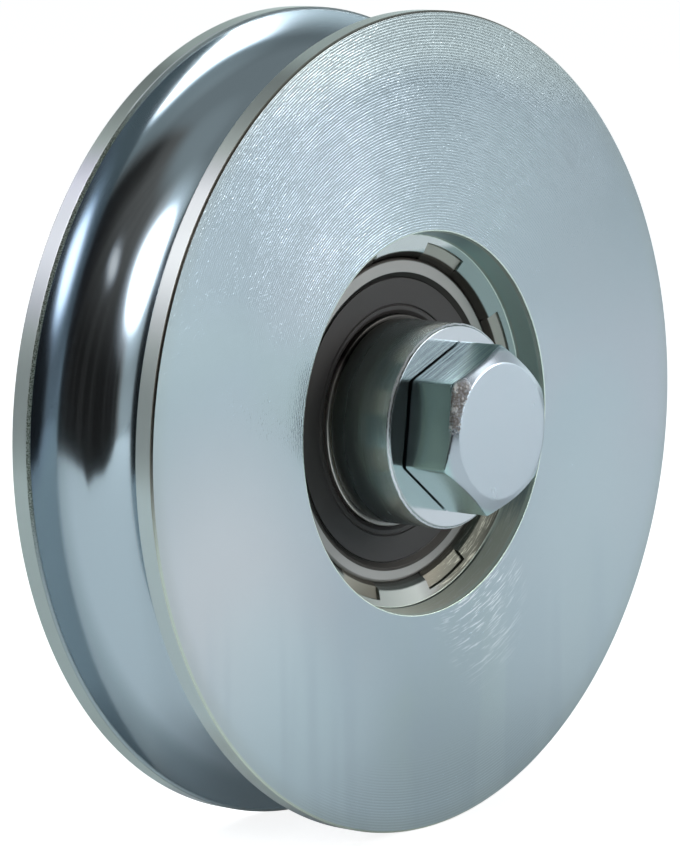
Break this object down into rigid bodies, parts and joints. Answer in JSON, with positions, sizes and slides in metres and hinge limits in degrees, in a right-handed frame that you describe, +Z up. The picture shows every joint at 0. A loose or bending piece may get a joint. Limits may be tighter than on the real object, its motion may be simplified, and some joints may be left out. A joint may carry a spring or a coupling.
{
  "type": "round groove wheel",
  "caption": "Steel wheel with a round groove in its rim for a bar track, on a sealed ball bearing staked in the wheel and clamped between bushes by a bolt and nut.",
  "frame": {"origin": "centre of the wheel, midway across its width, on the axle's axis", "axes": "+Z up, the axle along Y with the bolt's head at -Y and the nut at +Y"},
  "size_m": [0.1, 0.0675, 0.1],
  "materials": {
    "wheel_zinc": "bright zinc plate on turned steel",
    "bush_zinc": "bright zinc plate on turned steel",
    "bolt_zinc": "bright zinc plate",
    "ring_steel": "ground steel",
    "ball_steel": "polished steel",
    "cage_steel": "pressed sheet steel",
    "seal_rubber": "matt black rubber"
  },
  "bodies": {
    "axle": {"axle_bolt": "bolt_zinc", "axle_nut": "bolt_zinc", "bush_front": "bush_zinc", "bush_rear": "bush_zinc", "bearing_inner_ring": "ring_steel"},
    "wheel": {"wheel_body": "wheel_zinc", "bearing_outer_ring": "ring_steel", "seal_front": "seal_rubber", "seal_front_insert": "cage_steel", "seal_rear": "seal_rubber", "seal_rear_insert": "cage_steel"},
    "cage": {"cage_front_half": "cage_steel", "cage_rear_half": "cage_steel", "cage_rivets": "cage_steel"},
    "ball_1": {"ball_1": "ball_steel"},
    "ball_2": {"ball_2": "ball_steel"},
    "ball_3": {"ball_3": "ball_steel"},
    "ball_4": {"ball_4": "ball_steel"},
    "ball_5": {"ball_5": "ball_steel"},
    "ball_6": {"ball_6": "ball_steel"},
    "ball_7": {"ball_7": "ball_steel"},
    "ball_8": {"ball_8": "ball_steel"}
  },
  "joints": [
    {"name": "wheel_spin", "type": "hinge", "parent": "axle", "child": "wheel", "pos_m": [0, 0, 0], "axis": [0, 1, 0], "continuous": true},
    {"name": "cage_spin", "type": "hinge", "parent": "axle", "child": "cage", "pos_m": [0, 0, 0], "axis": [0, 1, 0], "continuous": true},
    {"name": "ball_1_spin", "type": "hinge", "parent": "cage", "child": "ball_1", "pos_m": [0.01425, 0, 0], "axis": [0, 1, 0], "continuous": true},
    {"name": "ball_2_spin", "type": "hinge", "parent": "cage", "child": "ball_2", "pos_m": [0.01008, 0, 0.01008], "axis": [0, 1, 0], "continuous": true},
    {"name": "ball_3_spin", "type": "hinge", "parent": "cage", "child": "ball_3", "pos_m": [0, 0, 0.01425], "axis": [0, 1, 0], "continuous": true},
    {"name": "ball_4_spin", "type": "hinge", "parent": "cage", "child": "ball_4", "pos_m": [-0.01008, 0, 0.01008], "axis": [0, 1, 0], "continuous": true},
    {"name": "ball_5_spin", "type": "hinge", "parent": "cage", "child": "ball_5", "pos_m": [-0.01425, 0, 0], "axis": [0, 1, 0], "continuous": true},
    {"name": "ball_6_spin", "type": "hinge", "parent": "cage", "child": "ball_6", "pos_m": [-0.01008, 0, -0.01008], "axis": [0, 1, 0], "continuous": true},
    {"name": "ball_7_spin", "type": "hinge", "parent": "cage", "child": "ball_7", "pos_m": [0, 0, -0.01425], "axis": [0, 1, 0], "continuous": true},
    {"name": "ball_8_spin", "type": "hinge", "parent": "cage", "child": "ball_8", "pos_m": [0.01008, 0, -0.01008], "axis": [0, 1, 0], "continuous": true}
  ],
  "couplings": [
    {"joint": "cage_spin", "follows": "wheel_spin", "ratio": 0.61837},
    {"joint": "ball_1_spin", "follows": "wheel_spin", "ratio": 1.9937},
    {"joint": "ball_2_spin", "follows": "wheel_spin", "ratio": 1.9937},
    {"joint": "ball_3_spin", "follows": "wheel_spin", "ratio": 1.9937},
    {"joint": "ball_4_spin", "follows": "wheel_spin", "ratio": 1.9937},
    {"joint": "ball_5_spin", "follows": "wheel_spin", "ratio": 1.9937},
    {"joint": "ball_6_spin", "follows": "wheel_spin", "ratio": 1.9937},
    {"joint": "ball_7_spin", "follows": "wheel_spin", "ratio": 1.9937},
    {"joint": "ball_8_spin", "follows": "wheel_spin", "ratio": 1.9937}
  ]
}
